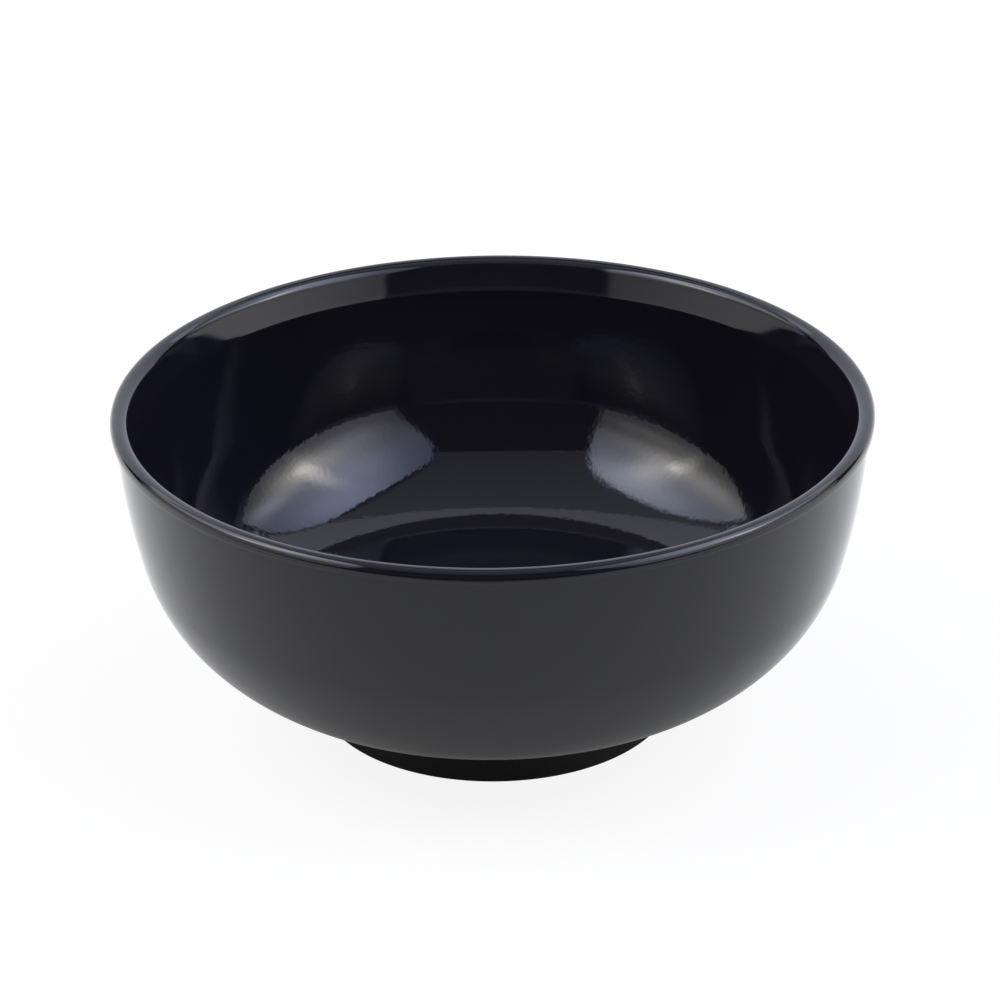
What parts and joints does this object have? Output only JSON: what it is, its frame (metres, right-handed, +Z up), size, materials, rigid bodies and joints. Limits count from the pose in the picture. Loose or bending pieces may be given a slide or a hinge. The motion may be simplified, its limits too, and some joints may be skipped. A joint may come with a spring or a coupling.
{
  "type": "mixing bowl",
  "caption": "Round black hair colour bowl with a rounded rim, a flared lip inside it and a short foot, standing on a rubber ring that grips the foot and keeps it from sliding.",
  "frame": {"origin": "centre of the foot, on the surface that the bowl stands on", "axes": "+Z up along the bowl's axis, towards the open rim; the bowl is round, so X and Y are alike"},
  "size_m": [0.14, 0.14, 0.0618],
  "materials": {
    "gloss_melamine": "black, moulded with a high gloss",
    "rubber": "black, matte moulded rubber"
  },
  "bodies": {
    "root": {"bowl": "gloss_melamine", "non_slip_ring": "rubber"}
  },
  "joints": []
}
